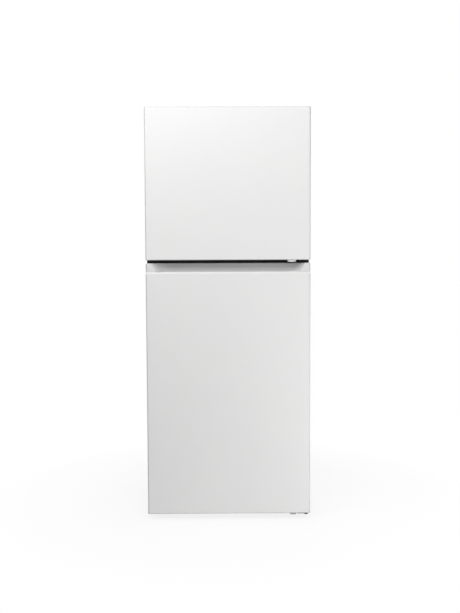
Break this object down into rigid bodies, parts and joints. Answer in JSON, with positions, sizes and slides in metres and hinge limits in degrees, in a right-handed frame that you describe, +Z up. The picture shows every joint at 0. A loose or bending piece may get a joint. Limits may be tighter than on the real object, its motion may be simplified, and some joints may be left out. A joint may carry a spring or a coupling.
{
  "type": "top freezer refrigerator",
  "caption": "Free-standing white top freezer refrigerator with two right-hinged doors, a scooped hand pocket between them, a fitted interior and an open machine compartment.",
  "frame": {"origin": "on the floor, under the middle of the whole box", "axes": "+X to the right seen from the front, +Y from the doors to the back, +Z up"},
  "size_m": [0.6, 0.66, 1.51],
  "materials": {
    "white_steel": "gloss",
    "white_plastic": "satin",
    "liner_plastic": "gloss",
    "insulation": "matte",
    "black_rail": "satin",
    "galvanised": "satin",
    "black_plastic": "matte",
    "black_rubber": "matte",
    "gasket_vinyl": "matte",
    "copper_tube": "satin",
    "fin_aluminium": "satin",
    "shelf_glass": "gloss",
    "clear_plastic": "gloss",
    "white_wire": "gloss",
    "grey_knob": "satin"
  },
  "bodies": {
    "cabinet": {"cabinet_shell": "white_steel", "back_panel": "galvanised", "cabinet_foam": "insulation", "freezer_liner": "liner_plastic", "fridge_liner": "liner_plastic", "mullion_rail": "black_rail", "base_frame": "black_rail", "compressor_tray": "galvanised", "compressor": "black_rail", "compressor_grommets": "black_rubber", "condenser_coil": "copper_tube", "refrigerant_lines": "copper_tube", "drain_pan": "black_plastic", "evaporator": "fin_aluminium", "evaporator_cover": "white_plastic", "fan_motor": "black_plastic", "air_duct": "white_plastic", "control_box": "white_plastic", "lamp_lens": "clear_plastic", "glass_shelf_upper": "shelf_glass", "glass_shelf_lower": "shelf_glass", "crisper_glass": "shelf_glass", "shelf_trims": "white_plastic", "freezer_shelf": "white_wire", "top_hinge": "galvanised", "top_hinge_cover": "white_plastic", "middle_hinge": "black_rail", "bottom_hinge": "galvanised", "cabinet_screws": "galvanised", "roller_brackets": "galvanised", "wall_spacers": "black_plastic", "cord_gland": "black_plastic"},
    "freezer_door": {"freezer_door_skin": "white_steel", "freezer_door_foam": "insulation", "freezer_door_liner": "liner_plastic", "freezer_door_top_cap": "white_plastic", "freezer_door_bottom_cap": "white_plastic", "freezer_door_gasket": "gasket_vinyl", "freezer_door_bin_upper": "clear_plastic", "freezer_door_bin_lower": "clear_plastic", "freezer_door_stop": "white_plastic"},
    "fridge_door": {"fridge_door_skin": "white_steel", "fridge_door_foam": "insulation", "fridge_door_liner": "liner_plastic", "fridge_door_handle_cap": "white_plastic", "fridge_door_bottom_cap": "white_plastic", "fridge_door_gasket": "gasket_vinyl", "fridge_door_bin_upper": "clear_plastic", "fridge_door_bin_middle": "clear_plastic", "fridge_door_bin_lower": "clear_plastic", "fridge_door_stop": "white_plastic"},
    "left_crisper": {"crisper_left": "clear_plastic"},
    "right_crisper": {"crisper_right": "clear_plastic"},
    "fan": {"fan_blades": "black_plastic"},
    "knob": {"thermostat_knob": "grey_knob"},
    "switch_plunger": {"door_switch": "white_plastic"},
    "left_foot": {"foot_left": "black_plastic"},
    "right_foot": {"foot_right": "black_plastic"},
    "left_roller": {"roller_left": "black_plastic"},
    "right_roller": {"roller_right": "black_plastic"}
  },
  "joints": [
    {"name": "freezer_door_hinge", "type": "hinge", "parent": "cabinet", "child": "freezer_door", "pos_m": [0.288, -0.295, 0.9605], "axis": [0, 0, 1], "range_deg": [0, 130]},
    {"name": "fridge_door_hinge", "type": "hinge", "parent": "cabinet", "child": "fridge_door", "pos_m": [0.288, -0.295, 0.023], "axis": [0, 0, 1], "range_deg": [0, 130]},
    {"name": "left_crisper_slide", "type": "slide", "parent": "cabinet", "child": "left_crisper", "axis": [0, -1, 0], "range_m": [0, 0.17]},
    {"name": "right_crisper_slide", "type": "slide", "parent": "cabinet", "child": "right_crisper", "axis": [0, -1, 0], "range_m": [0, 0.17]},
    {"name": "fan_spin", "type": "hinge", "parent": "cabinet", "child": "fan", "pos_m": [0, 0.21, 1.31], "axis": [0, 1, 0], "continuous": true},
    {"name": "thermostat_turn", "type": "hinge", "parent": "cabinet", "child": "knob", "pos_m": [-0.055, -0.19, 0.90675], "axis": [0, -1, 0], "range_deg": [-135, 135]},
    {"name": "switch_press", "type": "slide", "parent": "cabinet", "child": "switch_plunger", "axis": [0, -1, 0], "range_m": [0, 0.006]},
    {"name": "left_foot_turn", "type": "hinge", "parent": "cabinet", "child": "left_foot", "pos_m": [-0.255, -0.235, 0.03], "axis": [0, 0, 1], "continuous": true},
    {"name": "right_foot_turn", "type": "hinge", "parent": "cabinet", "child": "right_foot", "pos_m": [0.255, -0.235, 0.03], "axis": [0, 0, 1], "continuous": true},
    {"name": "left_roller_spin", "type": "hinge", "parent": "cabinet", "child": "left_roller", "pos_m": [-0.269, 0.285, 0.014], "axis": [1, 0, 0], "continuous": true},
    {"name": "right_roller_spin", "type": "hinge", "parent": "cabinet", "child": "right_roller", "pos_m": [0.269, 0.285, 0.014], "axis": [1, 0, 0], "continuous": true}
  ],
  "couplings": [
    {"joint": "left_crisper_slide", "follows": "fridge_door_hinge", "m_per_rad": 0.0749},
    {"joint": "right_crisper_slide", "follows": "fridge_door_hinge", "m_per_rad": 0.0749},
    {"joint": "switch_press", "follows": "fridge_door_hinge", "m_per_rad": 0.00264}
  ]
}
